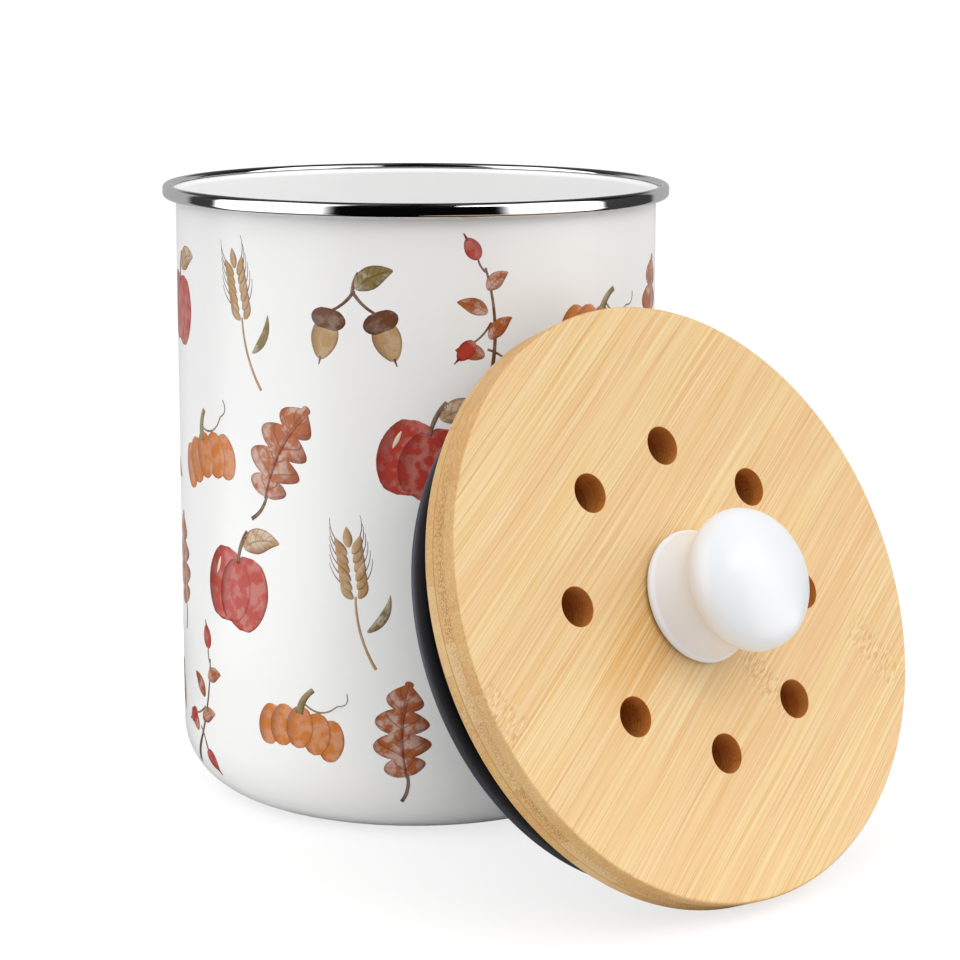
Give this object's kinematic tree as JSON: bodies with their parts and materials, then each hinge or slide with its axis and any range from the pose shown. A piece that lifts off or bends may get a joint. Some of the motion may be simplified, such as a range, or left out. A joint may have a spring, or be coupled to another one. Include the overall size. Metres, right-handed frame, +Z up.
{
  "type": "countertop compost caddy",
  "caption": "Round enamelled canister with a steel rim; its bamboo lid, with a ceramic knob and a charcoal filter below, lifts off and leans on it.",
  "frame": {"origin": "centre of the canister's base, on the surface that it stands on", "axes": "+Z up along the canister's axis; the lid leans on the side between +X and -Y, and its face looks away from the canister"},
  "size_m": [0.2403, 0.2671, 0.2045],
  "materials": {
    "enamel": "glossy white vitreous enamel on drawn steel",
    "polished_steel": "polished stainless sheet",
    "bamboo": "laminated bamboo, sanded and oiled",
    "ceramic": "white glazed",
    "pad_rubber": "thin black rubber",
    "brass": "turned",
    "zinc_steel": "zinc plated",
    "black_plastic": "moulded, fine texture",
    "silicone": "black silicone, satin",
    "charcoal_felt": "charcoal-filled felt"
  },
  "bodies": {
    "canister": {"canister_shell": "enamel", "rim_trim": "polished_steel"},
    "lid": {"lid_board": "bamboo", "knob": "ceramic", "knob_pad": "pad_rubber", "knob_insert": "brass", "knob_screw": "zinc_steel", "knob_washer": "zinc_steel", "filter_housing": "black_plastic", "housing_screws": "zinc_steel", "lid_seal": "silicone"},
    "cover": {"filter_cover": "black_plastic", "charcoal_filter": "charcoal_felt"}
  },
  "joints": [
    {"name": "lid_lift", "type": "slide", "parent": "canister", "child": "lid", "axis": [0.6041, -0.69, 0.3987], "range_m": [0, 0.25]},
    {"name": "cover_twist", "type": "hinge", "parent": "lid", "child": "cover", "pos_m": [0.06308, -0.09377, 0.07595], "axis": [0.6041, -0.69, 0.3987], "range_deg": [0, 34]}
  ]
}
